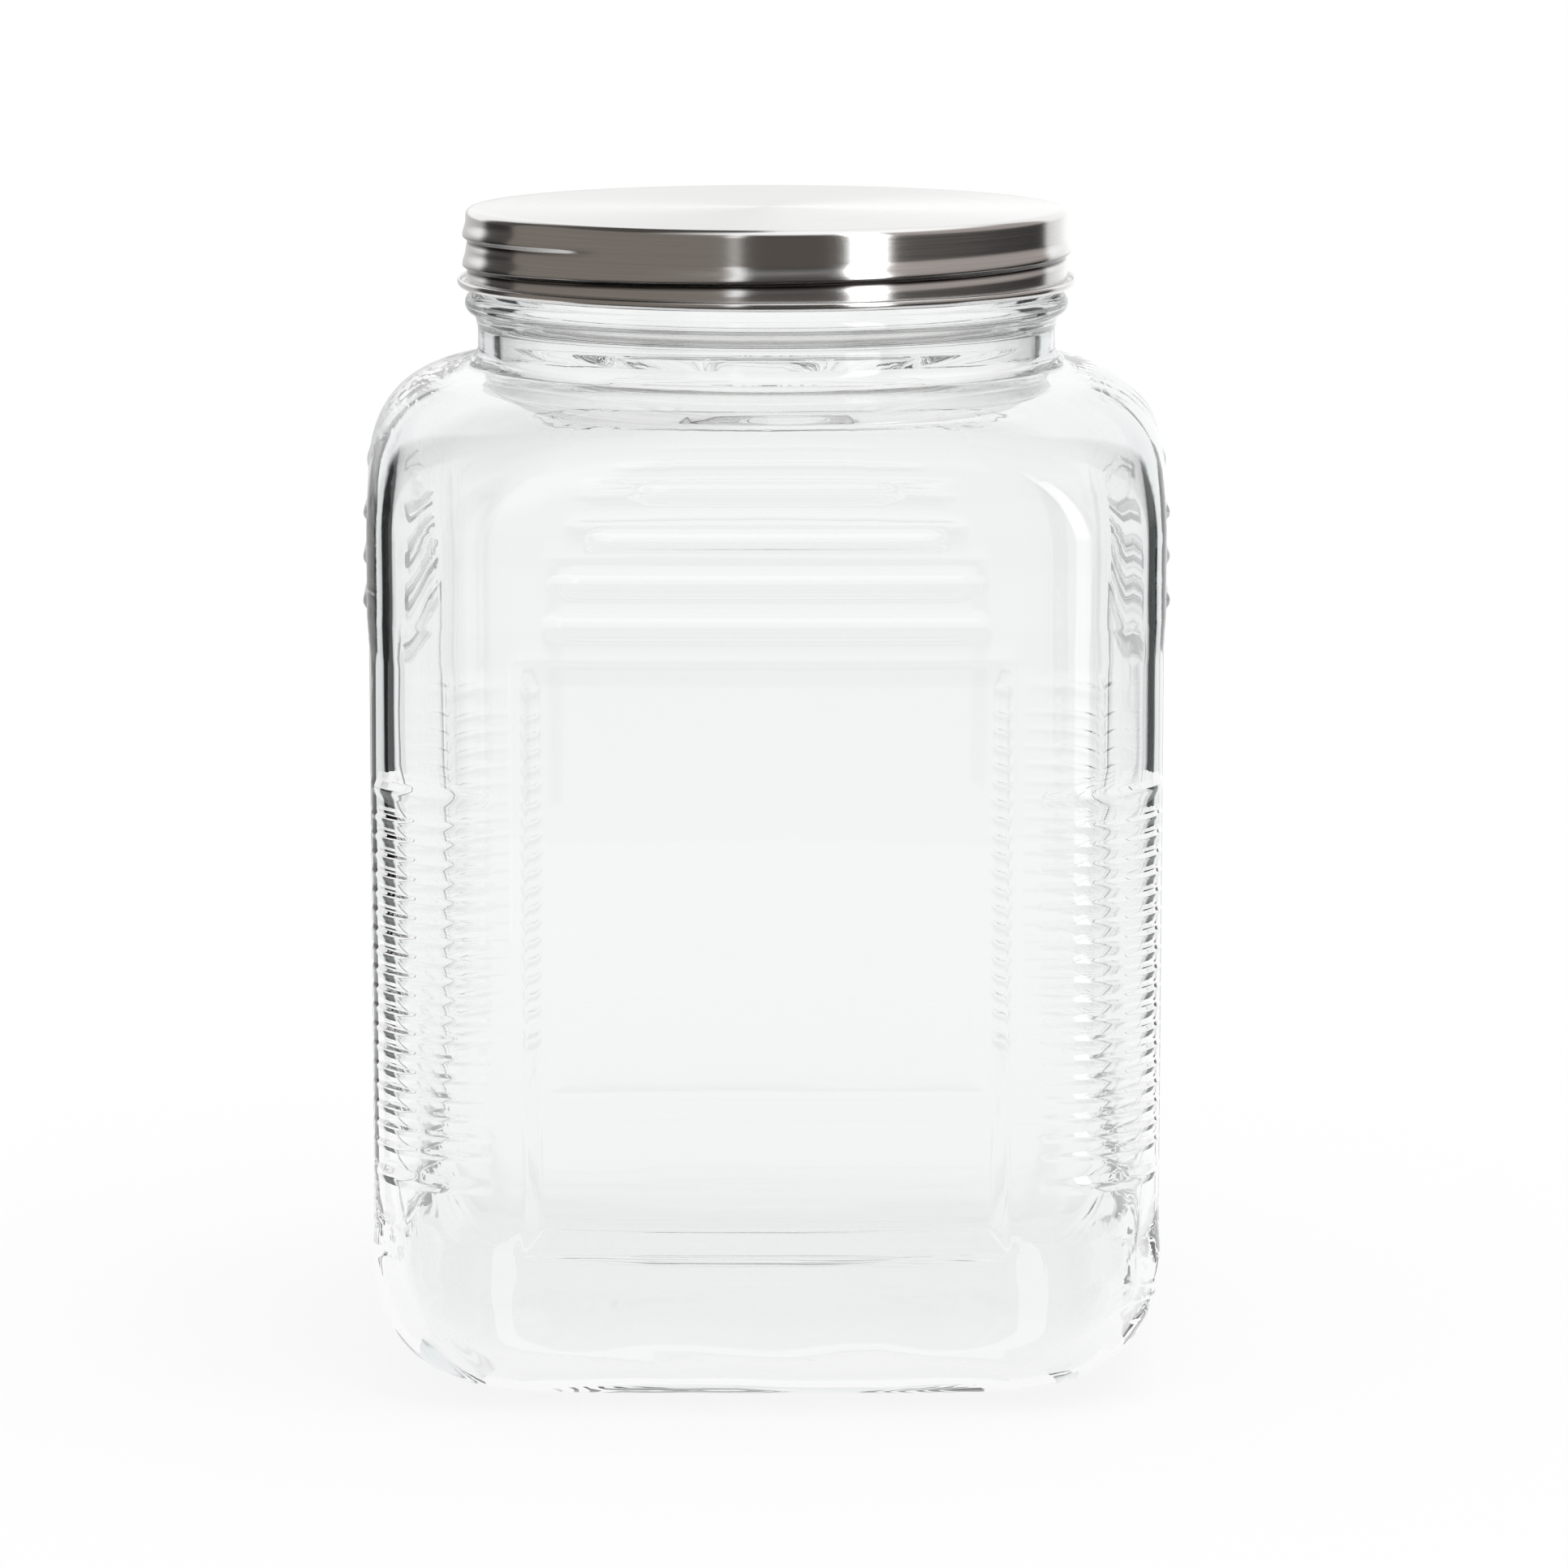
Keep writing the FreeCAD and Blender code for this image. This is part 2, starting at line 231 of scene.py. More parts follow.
def panel_relief(distance, height):
    side = (PANEL_HALF - distance) / SIDE_BEVEL
    top = (PANEL_TOP - height) / TOP_BEVEL
    bottom = (height - PANEL_BOTTOM) / BOTTOM_BEVEL
    inside = min(PANEL_HALF - distance, PANEL_TOP - height, height - PANEL_BOTTOM)
    if inside <= 0:
        return raised(inside + PANEL_LIP_WIDTH / 2, 0, PANEL_LIP_WIDTH, PANEL_LIP_PROUD)
    short_side = max(0.0, 1 - side)
    short_top = max(0.0, 1 - top)
    depth = min(1 - min(1.0, math.hypot(short_side, short_top)), bottom, 1.0)
    return -PANEL_DEPTH * depth


def bar_relief(distance, height):
    past_end = {bar: max(0.0, distance - (bar.half_length - BAR_WIDTH / 2)) for bar in BARS}
    return max(raised(past_end[bar], height - bar.height, BAR_WIDTH, bar.proud) for bar in BARS)


def rib_relief(distance, height):
    """A rib stands proudest at the middle of its corner and is low and round at its ends."""
    turn = min((EIGHTH_LENGTH - distance) / CORNER_RADIUS, math.pi / 4)
    share = (math.sqrt(2) * math.cos(turn) - 1) / (math.sqrt(2) - 1)
    lift = 0.0
    for rib in RIBS:
        width = rib.width * between(0.8, 1.0, share)
        past_end = max(0.0, RIB_END + width / 2 - distance)
        crest = between(RIB_END_PROUD, rib.proud, share ** 3)
        lift = max(lift, raised(past_end, height - rib.height, width, crest))
    return lift


def waist_relief(height):
    below_bars = (WAIST_TOP + WAIST_BLEND - height) / WAIST_BLEND
    above_heel = (height - HEEL_TOP) / (WAIST_BOTTOM - HEEL_TOP)
    return -WAIST * max(0.0, min(1.0, below_bars, above_heel))


def relief(distance, height):
    pressed = panel_relief(distance, height) + waist_relief(height)
    return pressed + bar_relief(distance, height) + rib_relief(distance, height)


# ---- the jar's profile -------------------------------------------------------------------------
def section_rows(sections_and_heights, wall):
    return [Row(section.face_reach, height, section, wall) for section, height in sections_and_heights]


def round_rows(points, wall=0.0):
    return [Row(radius, height, round_section(radius), wall) for radius, height in points]


def arc_points(centre, radius, start, end, steps):
    """Points on an arc in the (radius, height) plane, angles in degrees from outwards."""
    angles = [math.radians(between(start, end, i / steps)) for i in range(steps + 1)]
    return [(centre[0] + radius * math.cos(a), centre[1] + radius * math.sin(a)) for a in angles]


def underside_rows():
    """Middle of the push-up out to the bearing ring, all on the heel's foot outline, scaled."""
    foot = heel_section(0, HEEL_INSET, 0)
    ring = foot.face_reach - BEARING_WIDTH
    rows = []
    for share in (0.0, 0.15, 0.3, 0.45, 0.6, 0.75, 0.88, 0.96, 1.0):
        rows.append(Row(ring * share, PUSH_UP * (1 - share ** 2), foot, 0.0))
    for share in (0.3, 0.65):
        rows.append(Row(ring + BEARING_WIDTH * share, 0.0, foot, 0.0))
    return rows


def floor_rows():
    foot = heel_section(0, HEEL_INSET - 3 * MM, WALL)
    shares = (0.96, 0.9, 0.83, 0.76, 0.68, 0.6, 0.52, 0.44, 0.36, 0.28, 0.2, 0.12, 0.05, 0.0)
    return [Row(foot.face_reach * share, FLOOR_TOP, foot, WALL) for share in shares]


def heel_heights(inset, foot, top, wall, steps):
    sweeps = [math.pi / 2 * i / steps for i in range(steps)]
    return [(heel_section(sweep, inset, wall), top - (top - foot) * math.cos(sweep)) for sweep in sweeps]


def straight_heights():
    """Heights of the rows on the straight body: close together over ribs, bars and panel bevels."""
    heights = [HEEL_TOP, 30 * MM]
    heights += [PANEL_BOTTOM + BOTTOM_BEVEL * share
                for share in (-0.22, -0.11, 0.0, 0.15, 0.5, 0.85, 1.0, 1.1)]
    for rib in RIBS:
        heights += [rib.height + rib.width / 2 * share
                    for share in (-1.15, -0.9, -0.45, 0.0, 0.45, 0.9, 1.15)]
    heights += [WAIST_BOTTOM, WAIST_TOP, WAIST_TOP + WAIST_BLEND, 128 * MM, 134 * MM, 140 * MM]
    heights += [PANEL_TOP - TOP_BEVEL * share for share in (1.1, 1.0, 0.85, 0.5, 0.15, 0.0, -0.1, -0.19)]
    heights += [160.5 * MM, 168.5 * MM]
    for bar in BARS[:2]:
        heights += [bar.height + BAR_WIDTH / 2 * share for share in (-1.0, -0.8, -0.4, 0.0, 0.4, 0.8, 1.0)]
    return sorted(heights)


def shoulder_sweeps(steps, bars):
    sweeps = [math.pi / 2 * i / steps for i in range(steps)]
    for bar in bars:
        for share in (-1.0, -0.8, -0.4, 0.0, 0.4, 0.8, 1.0):
            height = bar.height + BAR_WIDTH / 2 * share
            sweeps.append(math.asin((height - SHOULDER_FOOT) / (SHOULDER_TOP - SHOULDER_FOOT)))
    return sorted(sweeps)


def outer_rows():
    rows = underside_rows()
    rows += section_rows(heel_heights(HEEL_INSET, 0.0, HEEL_TOP, 0.0, 20), 0.0)
    rows += section_rows([(straight_section(0.0), height) for height in straight_heights()], 0.0)
    rows += section_rows([shoulder_section(sweep, 0.0) for sweep in shoulder_sweeps(26, BARS[2:])], 0.0)
    fillet = arc_points((NECK_RADIUS + NECK_FILLET, SHOULDER_TOP + NECK_FILLET), NECK_FILLET, 250, 180, 6)
    bead_middle = (BEAD_TOP + BEAD_BOTTOM) / 2
    bead_proud = BEAD_RADIUS - NECK_RADIUS
    half = (BEAD_TOP - BEAD_BOTTOM) / 2
    bead_radius = (half ** 2 + bead_proud ** 2) / (2 * bead_proud)
    bead_angle = math.degrees(math.asin(min(1.0, half / bead_radius)))
    bead = arc_points((BEAD_RADIUS - bead_radius, bead_middle), bead_radius, -bead_angle, bead_angle, 10)
    rim = arc_points((NECK_RADIUS - RIM_ROUNDING, RIM_TOP - RIM_ROUNDING), RIM_ROUNDING, 0, 90, 5)
    neck = [point for point in fillet if point[1] < BEAD_BOTTOM]
    return rows + round_rows(neck + [(NECK_RADIUS, 207 * MM)] + bead + [(NECK_RADIUS, 222 * MM)] + rim)


def inner_rows():
    bore = NECK_RADIUS - WALL
    rim = arc_points((bore + RIM_ROUNDING, RIM_TOP - RIM_ROUNDING), RIM_ROUNDING, 90, 180, 5)
    rows = round_rows(rim + [(bore, height * MM) for height in (220, 212, 205, 200)], WALL)
    sweeps = [math.pi / 2 * (1 - i / 22) for i in range(1, 23)]
    rows += section_rows([shoulder_section(sweep, WALL) for sweep in sweeps], WALL)
    rows += section_rows([(straight_section(WALL), height * MM) for height in range(160, 30, -10)], WALL)
    heel = heel_heights(HEEL_INSET - 3 * MM, FLOOR_TOP, HEEL_TOP + 1.5 * MM, WALL, 14)
    rows += section_rows(list(reversed(heel)), WALL)
    return rows + floor_rows()


# ---- meshes ------------------------------------------------------------------------------------
def turned(rows, steps):
    """Spin a profile of rows about the axis; each vertex keeps the number of its row."""
    bm = bmesh.new()
    number = bm.verts.layers.int.new("row")
    profile = []
    for i, row in enumerate(rows):
        vert = bm.verts.new((max(row.reach, 1e-6), 0.0, row.height))
        vert[number] = i
        profile.append(vert)
    edges = [bm.edges.new(pair) for pair in zip(profile, profile[1:])]
    bmesh.ops.spin(bm, geom=profile + edges, cent=(0, 0, 0), axis=(0, 0, 1), dvec=(0, 0, 0),
                   angle=2 * math.pi, steps=steps, use_merge=True, use_normal_flip=False, use_duplicate=False)
    return bm, number


def finished(bm, name, material, body="root", node=None):
    bmesh.ops.remove_doubles(bm, verts=bm.verts, dist=1e-6)
    bmesh.ops.recalc_face_normals(bm, faces=bm.faces)
    mesh = bpy.data.meshes.new(name)
    bm.to_mesh(mesh)
    bm.free()
    mesh.polygons.foreach_set("use_smooth", [True] * len(mesh.polygons))
    mesh.materials.append(material)
    piece = bpy.data.objects.new(name, mesh)
    bpy.context.scene.collection.objects.link(piece)
    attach(piece, body)
    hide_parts(node)
    return piece


def cavity_wave(row, spot, scale):
    """Outward push of the uneven inside wall, stronger near the base and gone at the axis."""
    near_base = min(1.0, max(0.0, (HEEL_TOP + BASE_WAVE_BLEND - row.height) / BASE_WAVE_BLEND))
    uneven = BASE_WAVE_DEPTH * noise.noise(spot * BASE_WAVES_CLOSER) * near_base
    return WAVE_DEPTH * noise.noise(spot) * min(1.0, scale ** 4) + uneven * min(1.0, scale ** 2)


def shift_cavity(vert, row, scale):
    """Move a vertex of the inside a little to the right, less so towards the neck, and wave the floor."""
    below_neck = min(1.0, max(0.0, (SHOULDER_TOP - row.height) / (SHOULDER_TOP - SHOULDER_FOOT)))
    vert.co.x += CAVITY_SHIFT * below_neck * min(1.0, scale)
    if row.height < FLOOR_TOP + FLOOR_WAVE_REACH:
        spot = Vector((vert.co.x, vert.co.y, FLOOR_WAVE_LEVEL)) * FLOOR_WAVES_PER_METRE
        vert.co.z += BASE_WAVE_DEPTH * noise.noise(spot)


def press_jar(material):
    """Spin the jar's closed profile round, then press it into its square plan with all its relief."""
    rows = outer_rows() + inner_rows()
    bm, number = turned(rows, TURN_STEPS)
    for vert in bm.verts:
        row = rows[vert[number]]
        step = round(math.atan2(vert.co.y, vert.co.x) / (2 * math.pi) * TURN_STEPS) % TURN_STEPS
        face = round(step / (2 * EIGHTH_STEPS))
        side = step - face * 2 * EIGHTH_STEPS
        distance = along(abs(side))
        point, outward = outline_point(row.section, distance)
        scale = row.reach / row.section.face_reach
        lift = 0.0
        if row.wall:
            spot = Vector((point.x * face, math.copysign(point.y, side), vert.co.z)) * WAVES_PER_METRE
            lift = cavity_wave(row, spot, scale)
        elif scale == 1 and row.height < RIM_TOP - 2 * RIM_ROUNDING:
            lift = relief(distance, row.height) if row.height < SHOULDER_TOP else 0.0
            if abs(side) == EIGHTH_STEPS:
                lift += SEAM_PROUD
        point = point * scale + outward * lift
        angle = face * math.pi / 2
        local = Vector((point.x, math.copysign(point.y, side)))
        vert.co.x = local.x * math.cos(angle) - local.y * math.sin(angle)
        vert.co.y = local.x * math.sin(angle) + local.y * math.cos(angle)
        if row.wall:
            shift_cavity(vert, row, scale)
    return finished(bm, "jar_glass", material, node="jar")


def lid_profile():
    """The lid's sheet in section, outer face then inner: top, rounded edge, skirt and rolled curl."""
    edge = LID_RADIUS - LID_EDGE_ROUNDING
    edge_height = LID_TOP - LID_EDGE_ROUNDING
    skirt_inner = LID_RADIUS - SHEET
    curl_axis = (skirt_inner + CURL_RADIUS, CURL_BOTTOM + CURL_RADIUS)
    curl_inner = CURL_RADIUS - SHEET
    rows = 56
    top = [(edge * share, LID_TOP) for share in (0.0, 0.06, 0.2, 0.35, 0.5, 0.65, 0.8, 0.9, 0.96)]
    outside = top + arc_points((edge, edge_height), LID_EDGE_ROUNDING, 90, 0, 7)
    outside += [(LID_RADIUS, between(edge_height, curl_axis[1], i / rows)) for i in range(1, rows)]
    outside += arc_points(curl_axis, curl_inner, 180, 400, 10)
    inside = arc_points(curl_axis, CURL_RADIUS, 400, 180, 16)
    inside += [(skirt_inner, between(curl_axis[1], edge_height, i / rows)) for i in range(1, rows)]
    inside += arc_points((edge, edge_height), LID_EDGE_ROUNDING - SHEET, 0, 90, 4)
    inside += [(edge * share, RIM_TOP) for share in (0.9, 0.6, 0.3, 0.0)]
    return outside + inside


def thread_section(rise):
    """The rolled thread's push outwards at a rise above its crest, in pitches: a long slope down to
    the turn above, a short steep flank underneath, then a shallow groove."""
    if 0 <= rise < 0.55:
        return 0.5 + 0.5 * math.cos(math.pi * rise / 0.55)
    if -0.17 < rise < 0:
        return 0.28 + 0.72 * math.cos(math.pi * rise / 0.17)
    if -0.5 < rise <= -0.17:
        return -0.22 - 0.22 * math.cos(math.pi * (rise + 0.17) / -0.33)
    return 0.0


def thread_relief(azimuth, height):
    """Outward push of the rolled thread, which climbs to the right and fades out at both ends, and how
    strongly shade is painted into the steel's colour at the spot, on the flank just under the crest."""
    push = 0.0
    shade = 0.0
    for turn in range(-2, 4):
        turned_by = (azimuth - LID_THREAD_FOOT) / (2 * math.pi) + turn
        fade = min(1.0, turned_by / LID_THREAD_FADE, (LID_THREAD_TURNS - turned_by) / LID_THREAD_FADE)
        if fade > 0:
            crest = LID_THREAD_BOTTOM + LID_THREAD_PITCH * turned_by
            rise = (height - crest) / LID_THREAD_PITCH
            push += fade * thread_section(rise)
            # share of painted shade, strongest just under the crest
            shade = max(shade, fade * min(1.0, 2 - abs(rise + 0.12) / 0.09))
    return LID_THREAD_PROUD * push, shade


def spin_lid(material):
    rows = [Row(radius, height, None, 0.0) for radius, height in lid_profile()]
    bm, number = turned(rows, LID_STEPS)
    # vertex attribute of painted shade: 1 on the flank under the thread, where the steel's colour is darkened
    painted_shade = bm.verts.layers.float.new("painted_shade")
    edge_height = LID_TOP - LID_EDGE_ROUNDING
    skirt_bottom = CURL_BOTTOM + CURL_RADIUS
    along_profile = [0.0]
    for before, after in zip(rows, rows[1:]):
        length = math.hypot(after.reach - before.reach, after.height - before.height)
        along_profile.append(along_profile[-1] + length)
    for vert in bm.verts:
        row = rows[vert[number]]
        if row.reach > LID_RADIUS - 2 * SHEET and skirt_bottom < row.height < edge_height:
            azimuth = math.atan2(vert.co.x, -vert.co.y)
            push, vert[painted_shade] = thread_relief(azimuth, row.height)
            vert.co.x *= 1 + push / row.reach
            vert.co.y *= 1 + push / row.reach
    uv = bm.loops.layers.uv.new("brushing")
    for face in bm.faces:
        angles = [math.atan2(loop.vert.co.x, -loop.vert.co.y) for loop in face.loops]
        wraps = max(angles) - min(angles) > math.pi
        for loop, angle in zip(face.loops, angles):
            if wraps and angle < 0:
                angle += 2 * math.pi
            loop[uv].uv = (angle / (2 * math.pi), along_profile[loop.vert[number]])
    return finished(bm, "lid_steel", material, node="lid")


# ---- materials ---------------------------------------------------------------------------------
class Nodes:
    """Short calls for laying out one node tree."""

    def __init__(self, tree):
        self.tree = tree
        tree.nodes.clear()

    def add(self, kind, settings=(), **inputs):
        node = self.tree.nodes.new("ShaderNode" + kind)
        for name, value in dict(settings).items():
            setattr(node, name, value)
        for name, value in inputs.items():
            self.put(node, name.replace("_", " "), value)
        return node

    def put(self, node, name, value):
        socket = node.inputs[int(name[1:])] if name[0] == "i" and name[1:].isdigit() else node.inputs[name]
        if isinstance(value, bpy.types.NodeSocket):
            self.tree.links.new(value, socket)
        else:
            socket.default_value = value

    def math(self, operation, *values):
        node = self.add("Math", {"operation": operation})
        for i, value in enumerate(values):
            self.put(node, f"i{i}", value)
        return node.outputs[0]

    def ramp(self, factor, stops, mode="LINEAR"):
        node = self.add("ValToRGB")
        node.color_ramp.interpolation = mode
        elements = node.color_ramp.elements
        while len(elements) < len(stops):
            elements.new(0.5)
        for element, (position, color) in zip(elements, stops):
            element.position = position
            element.color = (*color, 1.0)
        self.tree.links.new(factor, node.inputs["Fac"])
        return node.outputs["Color"]

    def mixed(self, factor, first, second, blend="MIX"):
        node = self.add("Mix", {"data_type": "RGBA", "blend_type": blend}, Factor=factor, i6=first, i7=second)
        return node.outputs[2]


def new_material(name):
    material = bpy.data.materials.new(name)
    material.use_nodes = True
    return material, Nodes(material.node_tree)


def clear_glass():
    material, nodes = new_material("clear_glass")
    place = nodes.add("TexCoord").outputs["Object"]
    ripple = nodes.add("TexNoise", Vector=place, Scale=55.0, Detail=1.5, Roughness=0.4)
    bump = nodes.add("Bump", Strength=0.03, Distance=0.002, Height=ripple.outputs["Fac"])
    shader = nodes.add("BsdfPrincipled", Normal=bump.outputs["Normal"], Roughness=0.0, IOR=1.5)
    shader.inputs["Base Color"].default_value = (0.974, 0.978, 0.978, 1)
    shader.inputs["Transmission Weight"].default_value = 1.0
    nodes.add("OutputMaterial", Surface=shader.outputs[0])
    return material


def brushed_steel():
    material, nodes = new_material("brushed_steel")
    uv = nodes.add("UVMap", {"uv_map": "brushing"}).outputs["UV"]
    stretch = nodes.add("Mapping", Vector=uv)
    stretch.inputs["Scale"].default_value = (5.0, 7000.0, 1.0)
    lines = nodes.add("TexNoise", Vector=stretch.outputs["Vector"], Scale=1.0, Detail=3.0, Roughness=0.6)
    bump = nodes.add("Bump", Strength=0.03, Distance=0.0003, Height=lines.outputs["Fac"])
    tangent = nodes.add("Tangent", {"direction_type": "UV_MAP", "uv_map": "brushing"})
    color = nodes.ramp(lines.outputs["Fac"], [(0.35, (0.74, 0.735, 0.725)), (0.65, (0.86, 0.855, 0.845))])
    rough = nodes.add("MapRange", Value=lines.outputs["Fac"])
    rough.inputs["To Min"].default_value = 0.14
    rough.inputs["To Max"].default_value = 0.22
    shader = nodes.add("BsdfPrincipled", Normal=bump.outputs["Normal"], Metallic=1.0, Anisotropic=0.8,
                       Tangent=tangent.outputs["Tangent"], Roughness=rough.outputs["Result"])
    nodes.put(shader, "Anisotropic Rotation", 0.25)
    # painted shade: the steel's colour turns near black on the flank under the thread, where the vertex
    # attribute is 1
    painted_shade = nodes.add("Attribute", {"attribute_name": "painted_shade"}).outputs["Fac"]
    nodes.put(shader, "Base Color", nodes.mixed(painted_shade, color, (0.06, 0.055, 0.05, 1)))
    nodes.add("OutputMaterial", Surface=shader.outputs[0])
    return material


# ---- floor, world, lamps and camera ------------------------------------------------------------
def seen_as_background(nodes):
    """1 for camera, glossy and transmission rays."""
    path = nodes.add("LightPath")
    sight = nodes.math("MAXIMUM", path.outputs["Is Camera Ray"], path.outputs["Is Glossy Ray"])
    return nodes.math("MAXIMUM", sight, path.outputs["Is Transmission Ray"]), path


def lay_floor():
    """A pale floor that fades into the surround. Mirrored well in front of the jar, it is dark."""
    bm = bmesh.new()
    bmesh.ops.create_circle(bm, cap_ends=True, segments=96, radius=0.6)
    mesh = bpy.data.meshes.new("floor")
    bm.to_mesh(mesh)
    bm.free()
    material, nodes = new_material("floor_white")
    seen, path = seen_as_background(nodes)
    place = nodes.add("TexCoord").outputs["Object"]
    away = nodes.add("VectorMath", {"operation": "LENGTH"}, i0=place).outputs["Value"]
    bright = nodes.ramp(away, [(0.1, (0.88, 0.88, 0.88)), (0.35, (1, 1, 1))])
    forward = nodes.math("MULTIPLY", nodes.add("SeparateXYZ", Vector=place).outputs["Y"], -1.0)
    off_metal = nodes.math("SUBTRACT", path.outputs["Is Glossy Ray"], path.outputs["Transmission Depth"])
    far_front = nodes.math("MULTIPLY", nodes.math("MAXIMUM", off_metal, 0.0), nodes.ramp(forward, [
        (0.08, (0, 0, 0)), (0.11, (1, 1, 1))]))
    color = nodes.mixed(far_front, (1, 1, 1, 1), (0.03, 0.03, 0.03, 1))
    diffuse = nodes.add("BsdfDiffuse", Color=(0.9, 0.9, 0.9, 1))
    glow = nodes.add("Emission", Color=color, Strength=1.0)
    mix = nodes.add("MixShader", Fac=nodes.math("MULTIPLY", seen, bright), i1=diffuse.outputs[0],
                    i2=glow.outputs[0])
    nodes.add("OutputMaterial", Surface=mix.outputs[0])
    mesh.materials.append(material)
    floor = bpy.data.objects.new("floor", mesh)
    bpy.context.scene.collection.objects.link(floor)


def share_of_turn(degrees):
    """An azimuth from the front towards +X as a share of a turn that starts at the back."""
    return degrees / 360 + 0.5


def compass(nodes, azimuth, stops):
    """Colour round the horizon, from stops given in degrees from the front towards +X."""
    return nodes.ramp(azimuth, [(share_of_turn(degrees), color) for degrees, color in stops])


def seen_in_mirrors(nodes, azimuth, z):
    """What steel and the faces of glass mirror: pale behind, dark in front with two bright strips of
    light, brighter above, and a ceiling that is dark towards the front left."""
    dark, brown, white = (0.03, 0.028, 0.027), (0.21, 0.185, 0.165), (1.05, 1.05, 1.05)
    dim, strip, lamp = (0.07, 0.065, 0.06), (0.6, 0.58, 0.55), (2.6, 2.6, 2.6)
    grey, pale, glare = (0.40, 0.36, 0.34), (0.72, 0.72, 0.72), (5.0, 5.0, 5.0)
    flash, umber = (1.2, 1.2, 1.2), (0.1, 0.085, 0.075)
    level = compass(nodes, azimuth, [
        (-180, pale), (-140, (0.45, 0.44, 0.44)), (-134, dark), (-114, dark), (-112, brown), (-16, brown),
        (-14, dim), (-13, strip), (-11, strip), (-10, umber), (31, umber), (33, lamp), (45, lamp),
        (47, dim), (100, dark), (132, dark), (135, pale), (160, white)])
    upper = compass(nodes, azimuth, [
        (-180, white), (-140, white), (-134, dim), (-114, dim), (-112, brown), (-15, brown), (-14, flash),
        (-10, flash), (-9, dim), (31, dim), (34, glare), (44, glare), (47, grey), (100, grey), (132, grey),
        (136, white)])
    overhead = compass(nodes, azimuth, [
        (-60, dim), (-15, (1.2, 1.2, 1.2)), (120, (1.2, 1.2, 1.2)), (135, white), (180, white)])
    walls = nodes.mixed(nodes.ramp(z, [(0.0, (0, 0, 0)), (0.1, (1, 1, 1))]), level, upper)
    return nodes.mixed(nodes.ramp(z, [(0.55, (0, 0, 0)), (0.75, (1, 1, 1))]), walls, overhead)


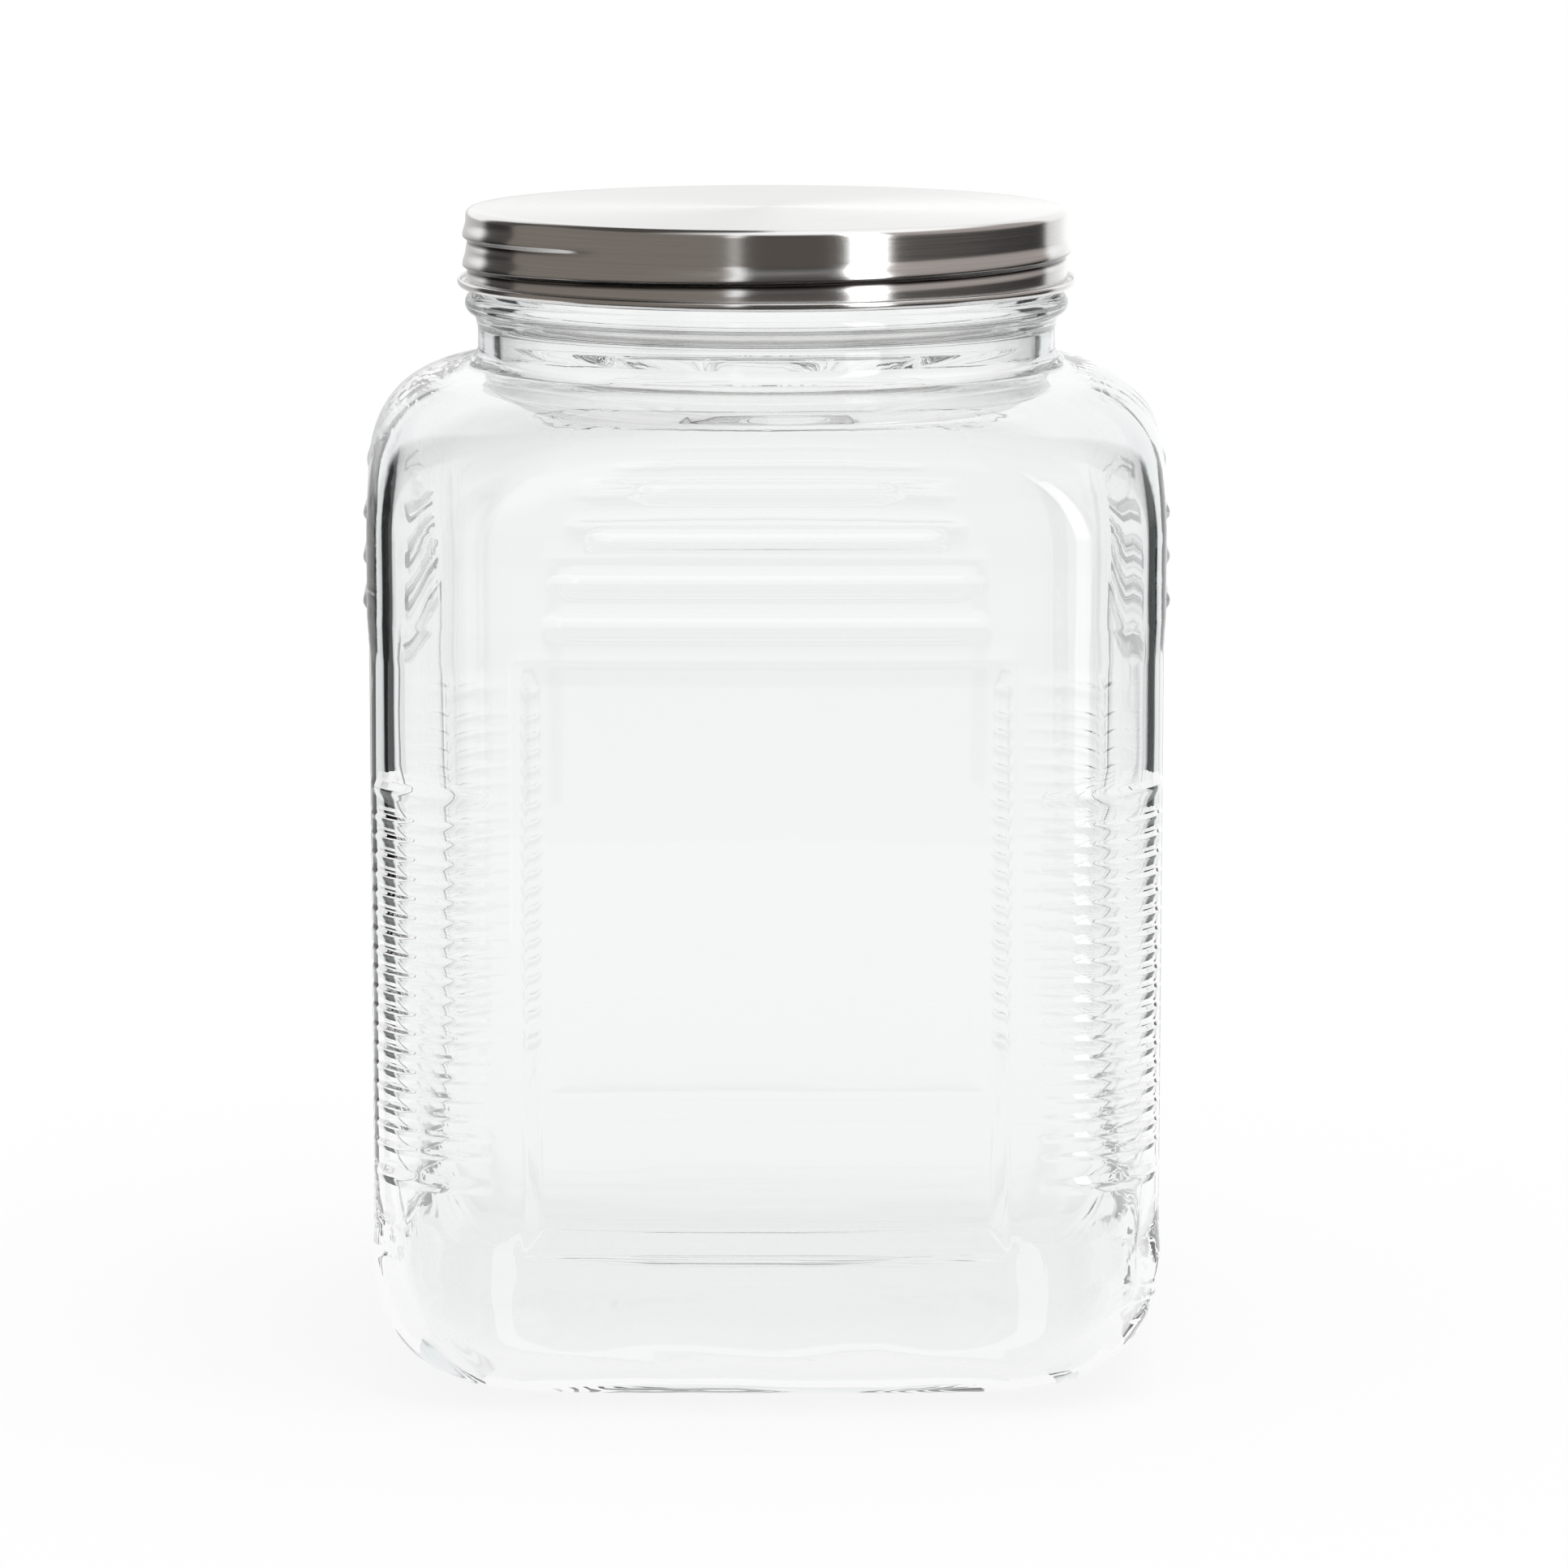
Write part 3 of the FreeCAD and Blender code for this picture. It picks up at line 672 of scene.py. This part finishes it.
def light_world():
    """A pale surround. Mirrored rays see a studio with a darker front; rays bent by glass see it white
    with a dark ceiling and, once the glass has mirrored them inside, dark diagonals."""
    world = bpy.data.worlds.new("studio")
    bpy.context.scene.world = world
    world.use_nodes = True
    nodes = Nodes(world.node_tree)
    path = nodes.add("LightPath")
    place = nodes.add("TexCoord").outputs["Generated"]
    split = nodes.add("SeparateXYZ", Vector=place)
    x, y, z = (split.outputs[axis] for axis in "XYZ")
    # azimuth from the front, 0 at -Y, a quarter at +X, as a share of a turn from the back left round
    angle = nodes.math("ARCTAN2", x, nodes.math("MULTIPLY", y, -1.0))
    azimuth = nodes.math("ADD", nodes.math("DIVIDE", angle, 2 * math.pi), 0.5)
    mirrored = seen_in_mirrors(nodes, azimuth, z)
    ceiling = nodes.ramp(nodes.math("ADD", z, 0.3), [
        (0.0, (1.02, 1.02, 1.02)), (0.14, (0.98, 0.98, 0.98)), (0.27, (0.94, 0.94, 0.94)),
        (0.92, (0.93, 0.93, 0.93)), (1.0, (0.08, 0.08, 0.08))])
    # 0 on the diagonals of the room, a half straight ahead, behind and at both sides
    turns = nodes.math("FRACT", nodes.math("MULTIPLY", azimuth, 4.0))
    off_diagonal = nodes.math("ABSOLUTE", nodes.math("SUBTRACT", turns, 0.5))
    faint, black = (0.74, 0.77, 0.77), (0.02, 0.025, 0.025)
    diagonals = nodes.ramp(off_diagonal, [(0.0, faint), (0.1, faint), (0.2, (1, 1, 1))])
    edges = nodes.ramp(off_diagonal, [
        (0.0, black), (0.11, black), (0.15, (0.78, 0.81, 0.81)), (0.5, (0.98, 0.98, 0.98))])
    low = nodes.ramp(z, [(0.7, (1, 1, 1)), (0.85, (0.1, 0.11, 0.11))])
    # rays mirrored inside the glass once, and those mirrored more than once
    once = nodes.math("GREATER_THAN", path.outputs["Glossy Depth"], 0.5)
    again = nodes.math("GREATER_THAN", path.outputs["Glossy Depth"], 1.5)
    caught = nodes.mixed(again, nodes.mixed(once, diagonals, edges), (0.82, 0.85, 0.85, 1))
    bent = nodes.mixed(1.0, nodes.mixed(once, ceiling, low), caught, "MULTIPLY")
    reflection = nodes.add("Background", Color=mirrored, Strength=1.0)
    through = nodes.add("Background", Color=bent, Strength=1.0)
    white = nodes.add("Background", Color=(1, 1, 1, 1), Strength=1.0)
    soft = nodes.add("Background", Color=(1, 1, 1, 1), Strength=0.6)
    shader = soft.outputs[0]
    for ray, background in (("Is Glossy Ray", reflection), ("Is Transmission Ray", through),
                            ("Is Camera Ray", white)):
        mix = nodes.add("MixShader", Fac=path.outputs[ray], i1=shader, i2=background.outputs[0])
        shader = mix.outputs[0]
    nodes.add("OutputWorld", Surface=shader)


def hang_lamp(name, place, size, power):
    data = bpy.data.lights.new(name, "AREA")
    data.shape = "RECTANGLE"
    data.size, data.size_y = size
    data.energy = power
    lamp = bpy.data.objects.new(name, data)
    lamp.location = place
    lamp.rotation_euler = (Vector((0, 0, 0.1)) - Vector(place)).to_track_quat("-Z", "Y").to_euler()
    lamp.visible_glossy = False
    lamp.visible_transmission = False
    bpy.context.scene.collection.objects.link(lamp)


def set_camera():
    data = bpy.data.cameras.new("camera")
    data.lens = 159.1
    data.sensor_width = 36.0
    data.shift_x = 0.0111
    camera = bpy.data.objects.new("camera", data)
    camera.location = (0.0, -1.4, 0.338)
    aim = Vector((0.0, 0.0, 0.113)) - camera.location
    camera.rotation_euler = aim.to_track_quat("-Z", "Y").to_euler()
    bpy.context.scene.collection.objects.link(camera)
    bpy.context.scene.camera = camera


def let_light_through():
    """Light caught in thick glass is mirrored many times before it leaves."""
    cycles = bpy.context.scene.cycles
    cycles.max_bounces = 24
    cycles.glossy_bounces = 20
    cycles.transmission_bounces = 20


press_jar(clear_glass())
spin_lid(brushed_steel())
lay_floor()
light_world()
hang_lamp("overhead", (0.3, -0.2, 1.6), (1.2, 1.2), 14.0)
set_camera()
bpy.context.scene.view_settings.view_transform = "Standard"
let_light_through()
